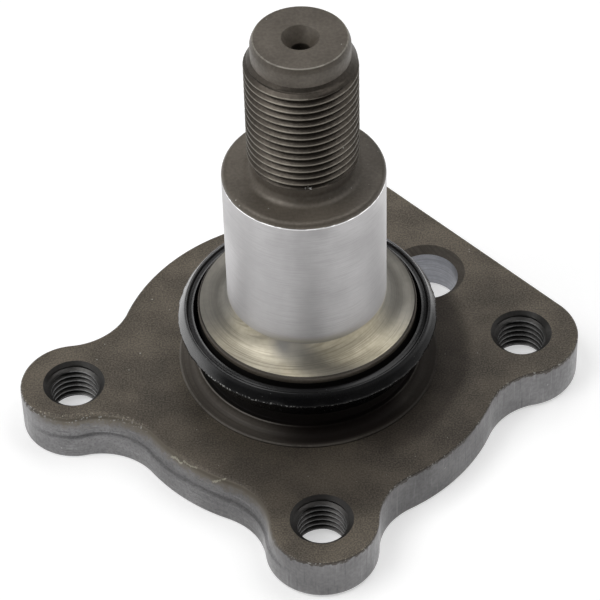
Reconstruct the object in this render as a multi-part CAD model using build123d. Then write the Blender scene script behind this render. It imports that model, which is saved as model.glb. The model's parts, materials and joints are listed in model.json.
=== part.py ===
from build123d import *
import os
from math import acos, atan2, cos, degrees, hypot, pi, radians, sin, tan

# Stub shaft: a forged and turned steel spindle with a lugged flange, and the moulded
# rubber sealing ring that grips the neck under its bearing shoulder.
# Millimetres. +Z runs up the shaft, +X and +Y span the flange. The origin is on the
# shaft axis, at the flange's flat back face, which the part stands on.

# Flange
FLANGE_THICKNESS = 9.4
WEB_RADIUS = 35.9
LUG_FLANK_RADIUS = 12.0
FLANGE_TOP_ROUND = 0.9
FLANGE_BACK_ROUND = 1.2

# Lugs: distance and direction of each from the shaft axis, and the radius of its end
RIGHT_LUG_REACH = 39.95
RIGHT_LUG_ANGLE = 5.0
RIGHT_LUG_RADIUS = 10.6
BACK_LUG_REACH = 44.6
BACK_LUG_ANGLE = 87.4
BACK_LUG_RADIUS = 10.3
LEFT_LUG_REACH = 43.9
LEFT_LUG_ANGLE = 188.5
LEFT_LUG_RADIUS = 9.9
FRONT_LUG_REACH = 40.8
FRONT_LUG_ANGLE = 272.2
FRONT_LUG_RADIUS = 10.2

# Tapped holes through the lugs, drilled to the thread's inner diameter
TAP_BORE = 8.65
TAP_MOUTH = 11.4

# Plain hole for a speed sensor, beside the neck
SENSOR_REACH = 30.6
SENSOR_ANGLE = 41.3
SENSOR_BORE = 11.8
SENSOR_MOUTH = 14.4
SENSOR_BACK_MOUTH = 12.8

# Turned land on the flange, and the low pedestal that the neck rises from
LAND_DIAMETER = 48.0
LAND_HEIGHT = 0.5
LAND_BREAK = 0.2
PEDESTAL_DIAMETER = 42.0
PEDESTAL_HEIGHT = 1.9
PEDESTAL_FILLET = 1.5

# Neck and bearing shoulder, measured up from the land
NECK_DIAMETER = 40.0
SHOULDER_HEIGHT = 13.6
SHOULDER_BREAK = 0.5

# Ground bearing journal, from the shoulder face to the step face
JOURNAL_DIAMETER = 29.0
JOURNAL_LENGTH = 32.6
JOURNAL_FILLET = 3.4
JOURNAL_END_ROUND = 1.0

# Nut thread, drawn at its outer diameter, with the relief below it and the nose above
RELIEF_DIAMETER = 18.2
RELIEF_LENGTH = 3.2
RELIEF_FILLET = 1.7
THREAD_DIAMETER = 19.75
THREAD_LENGTH = 21.5
THREAD_LEAD_IN = 1.4
NOSE_DIAMETER = 17.2
NOSE_LENGTH = 3.8
NOSE_BEVEL_WIDTH = 0.45
NOSE_BEVEL_HEIGHT = 1.0

# Centre hole in the end face
CENTRE_MOUTH = 6.4
CENTRE_BORE = 3.2
CENTRE_CONE_ANGLE = 60.0
CENTRE_DEPTH = 7.0
DRILL_POINT_ANGLE = 118.0

# Sealing ring: its foot grips the neck and its lip flares clear of the shoulder.
# Reaches and walls are measured out from the neck.
RING_BELOW_SHOULDER = 1.4
RING_HEIGHT = 6.6
RING_GRIP_LENGTH = 3.0
RING_LIP_GAP = 0.8
RING_LIP_WALL = 0.35
RING_CREST_REACH = 2.3
RING_FLASH_REACH = 3.7
RING_FLASH_DROP = 2.1
RING_FLASH_EDGE = 0.3
RING_FOOT_WALL = 1.6
RING_FOOT_ROUND = 0.4
RING_FLANK_BULGE = 0.35

# Levels along the shaft
land_z = FLANGE_THICKNESS + LAND_HEIGHT
pedestal_z = land_z + PEDESTAL_HEIGHT
shoulder_z = land_z + SHOULDER_HEIGHT
step_z = shoulder_z + JOURNAL_LENGTH
relief_z = step_z + RELIEF_LENGTH
thread_end_z = relief_z + THREAD_LENGTH
nose_z = thread_end_z + THREAD_LEAD_IN
end_z = nose_z + NOSE_LENGTH


def polar(reach, angle):
    """Point at a distance from the shaft axis, in a direction in degrees."""
    return reach * cos(radians(angle)), reach * sin(radians(angle))


def toward(start, end, distance):
    """Point at a distance from start on the way to end."""
    span = hypot(end[0] - start[0], end[1] - start[1])
    return tuple(s + (e - s) * distance / span for s, e in zip(start, end))


def arc(centre, start, end, turn):
    """Arc about centre from start to end; turn is +1 anticlockwise and -1 clockwise."""
    first = atan2(start[1] - centre[1], start[0] - centre[0])
    last = atan2(end[1] - centre[1], end[0] - centre[0])
    sweep = (turn * (last - first)) % (2 * pi)
    middle = first + turn * sweep / 2
    radius = hypot(start[0] - centre[0], start[1] - centre[1])
    crown = (centre[0] + radius * cos(middle), centre[1] + radius * sin(middle))
    return ThreePointArc(start, crown, end)


class Lug:
    """One ear of the flange: a round end about its hole, blended into the round web."""

    def __init__(self, reach, angle, radius):
        self.reach = reach
        self.angle = angle
        self.radius = radius
        self.centre = polar(reach, angle)

    def flank(self, side):
        """Flank arc's centre, its end on the web and its end on the lug; side is -1 or +1."""
        far = WEB_RADIUS + LUG_FLANK_RADIUS
        near = self.radius + LUG_FLANK_RADIUS
        swing = acos((self.reach**2 + far**2 - near**2) / (2 * self.reach * far))
        centre = polar(far, self.angle + side * degrees(swing))
        return centre, toward((0, 0), centre, WEB_RADIUS), toward(self.centre, centre, self.radius)


right_lug = Lug(RIGHT_LUG_REACH, RIGHT_LUG_ANGLE, RIGHT_LUG_RADIUS)
back_lug = Lug(BACK_LUG_REACH, BACK_LUG_ANGLE, BACK_LUG_RADIUS)
left_lug = Lug(LEFT_LUG_REACH, LEFT_LUG_ANGLE, LEFT_LUG_RADIUS)
front_lug = Lug(FRONT_LUG_REACH, FRONT_LUG_ANGLE, FRONT_LUG_RADIUS)
lugs = [right_lug, back_lug, left_lug, front_lug]


def straight_side(first, second):
    """Touch points of the straight edge that runs round the outside of two lugs."""
    dx = second.centre[0] - first.centre[0]
    dy = second.centre[1] - first.centre[1]
    normal = atan2(dy, dx) - acos((first.radius - second.radius) / hypot(dx, dy))
    facing = (cos(normal), sin(normal))
    return [tuple(c + lug.radius * n for c, n in zip(lug.centre, facing)) for lug in (first, second)]


def flange_outline():
    """Outline of the flange: four lugs on a round web, two of them joined by a straight side."""
    side_start, side_end = straight_side(right_lug, back_lug)
    centre, web_start, lug_start = right_lug.flank(-1)
    edges = [
        arc(centre, web_start, lug_start, -1),
        arc(right_lug.centre, lug_start, side_start, 1),
        Line(side_start, side_end),
    ]
    centre, web_point, lug_point = back_lug.flank(1)
    edges += [arc(back_lug.centre, side_end, lug_point, 1), arc(centre, lug_point, web_point, -1)]
    for lug in (left_lug, front_lug):
        centre, near_web, near_lug = lug.flank(-1)
        edges += [arc((0, 0), web_point, near_web, 1), arc(centre, near_web, near_lug, -1)]
        centre, web_point, far_lug = lug.flank(1)
        edges += [arc(lug.centre, near_lug, far_lug, 1), arc(centre, far_lug, web_point, -1)]
    edges.append(arc((0, 0), web_point, web_start, 1))
    return make_face(Curve() + edges)


def mouth(bore, width):
    """Cone that chamfers a hole's mouth at 45 degrees, opening upwards at z = 0."""
    depth = (width - bore) / 2
    return Pos(0, 0, -depth / 2) * Cone(bore / 2, width / 2, depth)


def through_hole(bore, top_mouth, back_mouth):
    """Hole through the flange with a chamfered mouth on each face, standing at the origin."""
    drill = Pos(0, 0, FLANGE_THICKNESS / 2) * Cylinder(bore / 2, FLANGE_THICKNESS)
    top = Pos(0, 0, FLANGE_THICKNESS) * mouth(bore, top_mouth)
    above = Pos(0, 0, FLANGE_THICKNESS + LAND_HEIGHT / 2) * Cylinder(top_mouth / 2, LAND_HEIGHT)
    back = Rot(180, 0, 0) * mouth(bore, back_mouth)
    return drill + top + above + back


def flange():
    """Forged flange plate with its edges rounded, before it is drilled."""
    plate = extrude(flange_outline(), FLANGE_THICKNESS)
    plate = fillet(plate.faces().sort_by(Axis.Z)[-1].edges(), FLANGE_TOP_ROUND)
    return fillet(plate.faces().sort_by(Axis.Z)[0].edges(), FLANGE_BACK_ROUND)


def turned_section():
    """Half section of everything turned about the shaft axis: x is the radius, y the height."""
    land_r = LAND_DIAMETER / 2
    pedestal_r = PEDESTAL_DIAMETER / 2
    neck_r = NECK_DIAMETER / 2
    journal_r = JOURNAL_DIAMETER / 2
    relief_r = RELIEF_DIAMETER / 2
    thread_r = THREAD_DIAMETER / 2
    nose_r = NOSE_DIAMETER / 2
    runout = thread_r - relief_r
    edges = [
        Polyline(
            (0, 0),
            (land_r, 0),
            (land_r, land_z - LAND_BREAK),
            (land_r - LAND_BREAK, land_z),
            (pedestal_r + PEDESTAL_FILLET, land_z),
        ),
        arc(
            (pedestal_r + PEDESTAL_FILLET, land_z + PEDESTAL_FILLET),
            (pedestal_r + PEDESTAL_FILLET, land_z),
            (pedestal_r, land_z + PEDESTAL_FILLET),
            -1,
        ),
        Polyline(
            (pedestal_r, land_z + PEDESTAL_FILLET),
            (pedestal_r, pedestal_z),
            (neck_r, pedestal_z),
            (neck_r, shoulder_z - SHOULDER_BREAK),
            (neck_r - SHOULDER_BREAK, shoulder_z),
            (journal_r + JOURNAL_FILLET, shoulder_z),
        ),
        arc(
            (journal_r + JOURNAL_FILLET, shoulder_z + JOURNAL_FILLET),
            (journal_r + JOURNAL_FILLET, shoulder_z),
            (journal_r, shoulder_z + JOURNAL_FILLET),
            -1,
        ),
        Line((journal_r, shoulder_z + JOURNAL_FILLET), (journal_r, step_z - JOURNAL_END_ROUND)),
        arc(
            (journal_r - JOURNAL_END_ROUND, step_z - JOURNAL_END_ROUND),
            (journal_r, step_z - JOURNAL_END_ROUND),
            (journal_r - JOURNAL_END_ROUND, step_z),
            1,
        ),
        Line((journal_r - JOURNAL_END_ROUND, step_z), (relief_r + RELIEF_FILLET, step_z)),
        arc(
            (relief_r + RELIEF_FILLET, step_z + RELIEF_FILLET),
            (relief_r + RELIEF_FILLET, step_z),
            (relief_r, step_z + RELIEF_FILLET),
            -1,
        ),
        Polyline(
            (relief_r, step_z + RELIEF_FILLET),
            (relief_r, relief_z),
            (thread_r, relief_z + runout),
            (thread_r, thread_end_z),
            (nose_r, nose_z),
            (nose_r, end_z - NOSE_BEVEL_HEIGHT),
            (nose_r - NOSE_BEVEL_WIDTH, end_z),
            (0, end_z),
            (0, 0),
        ),
    ]
    return make_face(Curve() + edges)


def centre_hole():
    """Centre drilling in the end face: a cone that opens upwards over a small blind bore."""
    mouth_r = CENTRE_MOUTH / 2
    bore_r = CENTRE_BORE / 2
    cone_depth = (mouth_r - bore_r) / tan(radians(CENTRE_CONE_ANGLE / 2))
    point_depth = bore_r / tan(radians(DRILL_POINT_ANGLE / 2))
    section = Polyline(
        (0, end_z),
        (mouth_r, end_z),
        (bore_r, end_z - cone_depth),
        (bore_r, end_z - CENTRE_DEPTH),
        (0, end_z - CENTRE_DEPTH - point_depth),
        (0, end_z),
    )
    return revolve(Plane.XZ * make_face(section), Axis.Z)


def spindle():
    """The whole steel piece: flange and shaft in one, drilled and chamfered."""
    body = flange() + revolve(Plane.XZ * turned_section(), Axis.Z)
    for lug in lugs:
        body -= Pos(*lug.centre) * through_hole(TAP_BORE, TAP_MOUTH, TAP_MOUTH)
    body -= Pos(*polar(SENSOR_REACH, SENSOR_ANGLE)) * through_hole(SENSOR_BORE, SENSOR_MOUTH, SENSOR_BACK_MOUTH)
    return body - centre_hole()


def seal_ring():
    """Moulded ring, its foot on the neck and its lip flaring up beside the shoulder."""
    neck_r = NECK_DIAMETER / 2
    top_z = shoulder_z - RING_BELOW_SHOULDER
    foot_z = top_z - RING_HEIGHT
    grip_z = foot_z + RING_GRIP_LENGTH
    lip_r = neck_r + RING_LIP_GAP
    crest_r = neck_r + RING_CREST_REACH
    flash_r = neck_r + RING_FLASH_REACH
    flash_z = top_z - RING_FLASH_DROP
    foot_r = neck_r + RING_FOOT_WALL
    crown = toward(
        ((crest_r + flash_r) / 2, (top_z + flash_z) / 2),
        ((crest_r + flash_r) / 2 + RING_FLASH_DROP, (top_z + flash_z) / 2 + flash_r - crest_r),
        RING_FLANK_BULGE,
    )
    edges = [
        Polyline(
            (foot_r - RING_FOOT_ROUND, foot_z),
            (neck_r, foot_z),
            (neck_r, grip_z),
            (lip_r, top_z - RING_LIP_WALL),
            (lip_r + RING_LIP_WALL, top_z - RING_LIP_WALL),
            (crest_r - RING_LIP_WALL, top_z),
            (crest_r, top_z),
        ),
        ThreePointArc((crest_r, top_z), crown, (flash_r, flash_z)),
        Polyline(
            (flash_r, flash_z),
            (flash_r, flash_z - RING_FLASH_EDGE),
            (foot_r, foot_z + RING_FOOT_ROUND),
        ),
        arc(
            (foot_r - RING_FOOT_ROUND, foot_z + RING_FOOT_ROUND),
            (foot_r, foot_z + RING_FOOT_ROUND),
            (foot_r - RING_FOOT_ROUND, foot_z),
            -1,
        ),
    ]
    return revolve(Plane.XZ * make_face(Curve() + edges), Axis.Z)


os.makedirs("parts", exist_ok=True)
export_step(spindle(), "parts/spindle.step")
export_step(seal_ring(), "parts/seal_ring.step")
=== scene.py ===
"""Stub shaft: a forged and turned steel spindle with a lugged flange, and its rubber sealing ring.

The classes hold their sizes in millimetres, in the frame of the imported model, and their
meshes are made in metres.
"""

import json
import logging
import math
from collections.abc import Sequence
from dataclasses import dataclass, field
from enum import Enum

import bmesh
import bpy
import numpy as np
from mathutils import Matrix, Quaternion, Vector, geometry, noise


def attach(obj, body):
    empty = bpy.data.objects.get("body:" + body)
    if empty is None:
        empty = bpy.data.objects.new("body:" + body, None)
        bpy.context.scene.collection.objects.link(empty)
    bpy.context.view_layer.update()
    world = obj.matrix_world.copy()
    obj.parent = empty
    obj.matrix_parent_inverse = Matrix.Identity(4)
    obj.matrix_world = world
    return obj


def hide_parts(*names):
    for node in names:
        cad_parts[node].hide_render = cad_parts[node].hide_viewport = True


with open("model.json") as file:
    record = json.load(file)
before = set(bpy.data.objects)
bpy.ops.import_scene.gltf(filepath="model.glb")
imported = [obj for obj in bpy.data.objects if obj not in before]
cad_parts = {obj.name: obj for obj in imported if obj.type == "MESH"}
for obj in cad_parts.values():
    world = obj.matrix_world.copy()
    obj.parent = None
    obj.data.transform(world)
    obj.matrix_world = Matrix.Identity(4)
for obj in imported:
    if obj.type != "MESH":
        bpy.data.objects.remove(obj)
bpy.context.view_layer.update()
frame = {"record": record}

MM = 0.001
TURN = 2.0 * math.pi
QUARTER_TURN = 0.25
BODY = "root"

log = logging.getLogger("stub_shaft")

Point = tuple[float, float]
Place = tuple[float, float, float]
Rgb = tuple[float, float, float]


class Skin(Enum):
    """Finishes of the spindle's surfaces, in the order of its material slots."""

    FORGED = 0
    SHEARED = 1
    TURNED = 2
    GROUND = 3
    POLISHED = 4
    THREADED = 5
    TAPPED = 6
    BORED = 7
    # The neck under the ring is painted shade.
    NECK = 8
    CUT = 9


class Mould(Enum):
    """Finishes of the sealing ring, in the order of its material slots."""

    RUBBER = 0


def smooth(value: np.ndarray | float) -> np.ndarray | float:
    """Eases a share from 0 to 1 with a flat start and end."""
    share = np.clip(value, 0.0, 1.0)
    return share * share * (3.0 - 2.0 * share)


def ease(value: np.ndarray, start: float, width: float) -> np.ndarray:
    """Share from 0 at start to 1 a width beyond it; a negative width goes down from start."""
    return smooth((value - start) / width)


def polar(reach: float, angle: float) -> np.ndarray:
    """Place at a reach from the shaft axis, in a direction given in degrees."""
    turn = math.radians(angle)
    return reach * np.array([math.cos(turn), math.sin(turn)])


@dataclass(frozen=True)
class Sector:
    """A range of directions in degrees, and the widths over which it starts and ends."""

    start: float
    rise: float
    end: float
    fall: float

    def share(self, turn: np.ndarray) -> np.ndarray:
        """How far each direction lies within the sector, from 0 to 1."""
        return ease(turn, self.start, self.rise) * ease(turn, self.end, -self.fall)


def ripple(points: np.ndarray, size: float, seed: float, octaves: int = 3) -> np.ndarray:
    """Smooth noise at points, about -1 to 1.

    Args:
        points: places in millimetres, one row each.
        size: length of a ripple in millimetres.
        seed: shift that gives each use a pattern of its own.
        octaves: levels of finer detail.

    Returns:
        One value for each point.
    """
    places = [Vector(p) / size + Vector((seed, seed, seed)) for p in points]
    return np.array([noise.fractal(p, 1.0, 2.0, octaves) for p in places])


class SurfaceMesh:
    """Patches of surface that are welded into one closed mesh, each patch with its own skin."""

    WELD = 0.002

    def __init__(self, name: str) -> None:
        """Starts an empty mesh.

        Args:
            name: name of the mesh and of its object.
        """
        self.name = name
        self.points: list[np.ndarray] = []
        self.marks: dict[str, list[np.ndarray]] = {"wear_and_highlight": [], "rolled": []}
        self.faces: list[list[int]] = []
        self.skins: list[int] = []
        self.count = 0

    def add(
        self,
        points: np.ndarray,
        faces: Sequence[Sequence[int]],
        skin: Enum,
        wear_and_highlight: np.ndarray | float = 0.0,
        rolled: np.ndarray | float = 0.0,
    ) -> None:
        """Adds one patch.

        Args:
            points: places in millimetres, one row each.
            faces: corner numbers of each face, counted within the patch.
            skin: the patch's finish.
            wear_and_highlight: how bare each point is rubbed, from 0 to 1; on the land's rim and the
                pedestal's edge it is a painted highlight.
            rolled: how far the trimmed edge is rolled over, 1 on its ridge.
        """
        self.points.append(points)
        self.marks["wear_and_highlight"].append(np.broadcast_to(wear_and_highlight, len(points)))
        self.marks["rolled"].append(np.broadcast_to(rolled, len(points)))
        self.faces += [[corner + self.count for corner in face] for face in faces]
        self.skins += [skin.value] * len(faces)
        self.count += len(points)

    def add_rows(
        self,
        rows: np.ndarray,
        skin: Enum,
        wear_and_highlight: np.ndarray | float = 0.0,
        rolled: np.ndarray | float = 0.0,
        closed: bool = True,
    ) -> None:
        """Adds a patch of rows of points, each row joined to the next.

        Args:
            rows: places in millimetres, as rows, columns and coordinates.
            skin: the patch's finish.
            wear_and_highlight: one value, or a column of one for each row, or one for each point.
            rolled: the same, for the rolled edge.
            closed: whether each row's end joins its start.
        """
        height, width = rows.shape[:2]
        last = width if closed else width - 1
        down = np.arange(height - 1)[:, None] * width
        here = np.arange(last)[None, :]
        beside = (here + 1) % width
        quads = np.stack([down + here, down + beside, down + width + beside, down + width + here], axis=-1)
        spread = [np.broadcast_to(mark, (height, width)).reshape(-1) for mark in (wear_and_highlight, rolled)]
        self.add(rows.reshape(-1, 3), quads.reshape(-1, 4).tolist(), skin, *spread)

    def piece(self, materials: Sequence[bpy.types.Material], sharp_angle: float) -> bpy.types.Object:
        """Welds the patches and makes the Blender object.

        Args:
            materials: one material for each skin, in the skins' order.
            sharp_angle: edges that turn by more than this many degrees stay sharp.

        Returns:
            The object, at the origin, with its place in its mesh.
        """
        mesh = bpy.data.meshes.new(self.name)
        mesh.from_pydata((np.vstack(self.points) * MM).tolist(), [], self.faces)
        mesh.polygons.foreach_set("material_index", np.array(self.skins, np.int32))
        for name, values in self.marks.items():
            mark = mesh.attributes.new(name, "FLOAT", "POINT")
            mark.data.foreach_set("value", np.concatenate(values).astype(np.float32))
        body = bmesh.new()
        body.from_mesh(mesh)
        bmesh.ops.remove_doubles(body, verts=body.verts, dist=self.WELD * MM)
        bmesh.ops.dissolve_degenerate(body, edges=body.edges, dist=self.WELD * MM / 10)
        bmesh.ops.recalc_face_normals(body, faces=body.faces)
        open_edges = sum(1 for edge in body.edges if not edge.is_manifold)
        body.to_mesh(mesh)
        body.free()
        for material in materials:
            mesh.materials.append(material)
        mesh.polygons.foreach_set("use_smooth", np.ones(len(mesh.polygons), bool))
        mesh.set_sharp_from_angle(angle=math.radians(sharp_angle))
        result = bpy.data.objects.new(self.name, mesh)
        bpy.context.scene.collection.objects.link(result)
        triangles = sum(len(face.vertices) - 2 for face in mesh.polygons)
        log.info("%s: %d triangles, %d open edges", self.name, triangles, open_edges)
        return result


def arc_points(centre: Point, radius: float, start: float, end: float, steps: int) -> list[Point]:
    """Points along an arc, from one direction to another in degrees, both ends included."""
    angles = np.radians(np.linspace(start, end, steps + 1))
    return [(centre[0] + radius * math.cos(a), centre[1] + radius * math.sin(a)) for a in angles]


def turned_rows(section: Sequence[Point], turns: np.ndarray) -> np.ndarray:
    """Rows of points that a half section (radius, height) sweeps at the given turns in radians."""
    radius, height = np.array(section).T
    return np.stack(
        [
            radius[:, None] * np.cos(turns),
            radius[:, None] * np.sin(turns),
            np.broadcast_to(height[:, None], (len(radius), len(turns))),
        ],
        axis=-1,
    )


@dataclass(frozen=True)
class ThreadForm:
    """Profile of a screw thread, as a right-hand helix about the z axis."""

    pitch: float
    crest_radius: float
    root_radius: float
    crest_share: float = 0.125
    root_share: float = 0.22
    flank_rows: int = 3

    def stations(self) -> list[tuple[float, float, float]]:
        """Lays out the profile along one pitch.

        Returns:
            For each row its share of the pitch, its radius, and how worn it is.
        """
        flank = (1.0 - self.crest_share - self.root_share) / 2.0
        rows = [(0.0, self.crest_radius, 1.0), (self.crest_share, self.crest_radius, 1.0)]
        for step in range(1, self.flank_rows + 1):
            share = step / self.flank_rows
            radius = self.crest_radius + (self.root_radius - self.crest_radius) * share
            rows.append((self.crest_share + flank * share, radius, 0.0))
        for step in range(self.flank_rows):
            share = step / self.flank_rows
            radius = self.root_radius + (self.crest_radius - self.root_radius) * share
            rows.append((1.0 - flank + flank * share, radius, 0.0))
        return rows

    def rows(
        self, turns: np.ndarray, low: Point, high: Point, envelope: Sequence[Point], outer: bool
    ) -> tuple[np.ndarray, np.ndarray]:
        """Rows of the thread between two circles, cut to the shape of a turned blank.

        Args:
            turns: directions of the columns in radians, rising through one turn.
            low: radius and height of the lower circle.
            high: radius and height of the upper circle.
            envelope: half section (radius, height) of the blank, rising.
            outer: whether the blank bounds the thread from outside.

        Returns:
            The rows of points, and the wear of each row's points.
        """
        blank_radius, blank_height = np.array(envelope).T
        around = np.append(turns, turns[0] + TURN)
        lead = self.pitch * around / TURN
        first = math.floor((low[1] - lead.max()) / self.pitch) - 1
        last = math.ceil((high[1] - lead.min()) / self.pitch) + 1
        rows, wear_and_highlight = [], []
        for wind in range(first, last):
            for share, radius, worn in self.stations():
                height = np.clip(lead + (wind + share) * self.pitch, low[1], high[1])
                blank = np.interp(height, blank_height, blank_radius)
                cut = np.minimum(radius, blank) if outer else np.maximum(radius, blank)
                rows.append(np.stack([cut * np.cos(around), cut * np.sin(around), height], axis=-1))
                wear_and_highlight.append(np.where(np.isclose(cut, radius), worn, 0.0))
        return np.array(rows), np.array(wear_and_highlight)


@dataclass
class Lug:
    """One ear of the flange: a round end about its tapped hole."""

    reach: float
    angle: float
    radius: float

    @property
    def centre(self) -> np.ndarray:
        """Middle of the lug's round end."""
        return polar(self.reach, self.angle)


@dataclass
class FlangeOutline:
    """Outline of the flange: four lugs blended into a round web, two joined by a straight side."""

    web_radius: float = 35.9
    flank_radius: float = 12.0
    right: Lug = field(default_factory=lambda: Lug(39.95, 5.0, 10.6))
    back: Lug = field(default_factory=lambda: Lug(44.6, 87.4, 10.3))
    left: Lug = field(default_factory=lambda: Lug(43.9, 188.5, 9.9))
    front: Lug = field(default_factory=lambda: Lug(40.8, 272.2, 10.2))
    spacing: float = 0.55

    def arc(self, centre: np.ndarray, start: np.ndarray, end: np.ndarray, turn: int) -> list[np.ndarray]:
        """Lays points along an arc.

        Args:
            centre: the arc's centre.
            start: its first point, which is kept.
            end: its last point, which is left out.
            turn: 1 for anticlockwise, -1 for clockwise.

        Returns:
            The points, about a spacing apart.
        """
        first = math.atan2(*(start - centre)[::-1])
        last = math.atan2(*(end - centre)[::-1])
        sweep = (turn * (last - first)) % TURN
        radius = float(np.linalg.norm(start - centre))
        steps = max(2, round(sweep * radius / self.spacing))
        angles = first + turn * sweep * np.arange(steps) / steps
        return [centre + radius * np.array([math.cos(a), math.sin(a)]) for a in angles]

    def flank(self, lug: Lug, side: int) -> tuple[np.ndarray, np.ndarray, np.ndarray]:
        """Works out the arc that blends a lug into the web, tangent to both.

        Args:
            lug: the lug.
            side: -1 for its clockwise flank, 1 for the other.

        Returns:
            The arc's centre, its end on the web and its end on the lug.
        """
        far = self.web_radius + self.flank_radius
        near = lug.radius + self.flank_radius
        swing = math.acos((lug.reach**2 + far**2 - near**2) / (2.0 * lug.reach * far))
        turn = math.radians(lug.angle) + side * swing
        centre = far * np.array([math.cos(turn), math.sin(turn)])
        on_lug = lug.centre + (centre - lug.centre) * lug.radius / near
        return centre, centre * self.web_radius / far, on_lug

    def points(self) -> np.ndarray:
        """Walks once round the flange.

        Returns:
            The outline, anticlockwise from the foot of the right lug, one row for each point.
        """
        origin = np.zeros(2)
        across = self.back.centre - self.right.centre
        lean = math.acos((self.right.radius - self.back.radius) / float(np.linalg.norm(across)))
        normal = math.atan2(across[1], across[0]) - lean
        facing = np.array([math.cos(normal), math.sin(normal)])
        side_start = self.right.centre + self.right.radius * facing
        side_end = self.back.centre + self.back.radius * facing
        centre, web_start, on_lug = self.flank(self.right, -1)
        route = self.arc(centre, web_start, on_lug, -1)
        route += self.arc(self.right.centre, on_lug, side_start, 1)
        steps = round(float(np.linalg.norm(side_end - side_start)) / self.spacing)
        route += [side_start + (side_end - side_start) * step / steps for step in range(steps)]
        centre, web_point, on_lug = self.flank(self.back, 1)
        route += self.arc(self.back.centre, side_end, on_lug, 1)
        route += self.arc(centre, on_lug, web_point, -1)
        for lug in (self.left, self.front):
            centre, near_web, near_lug = self.flank(lug, -1)
            route += self.arc(origin, web_point, near_web, 1)
            route += self.arc(centre, near_web, near_lug, -1)
            centre, web_point, far_lug = self.flank(lug, 1)
            route += self.arc(lug.centre, near_lug, far_lug, 1)
            route += self.arc(centre, far_lug, web_point, -1)
        route += self.arc(origin, web_point, web_start, 1)
        return np.array(route)


@dataclass
class Hole:
    """A drilled hole through the flange, chamfered at both faces."""

    centre: np.ndarray
    bore: float
    top_mouth: float
    back_mouth: float

    def envelope(self, thickness: float) -> list[Point]:
        """Half section of the hole's wall.

        Args:
            thickness: the flange's thickness.

        Returns:
            Radius and height of each corner, rising from the back face.
        """
        return [
            (self.back_mouth / 2, 0.0),
            (self.bore / 2, (self.back_mouth - self.bore) / 2),
            (self.bore / 2, thickness - (self.top_mouth - self.bore) / 2),
            (self.top_mouth / 2, thickness),
        ]

    def circle(self, radius: float, height: float, turns: np.ndarray) -> np.ndarray:
        """Points of a circle about the hole's axis."""
        flat = self.centre + radius * np.stack([np.cos(turns), np.sin(turns)], axis=-1)
        return np.column_stack([flat, np.full(len(turns), height)])


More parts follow.
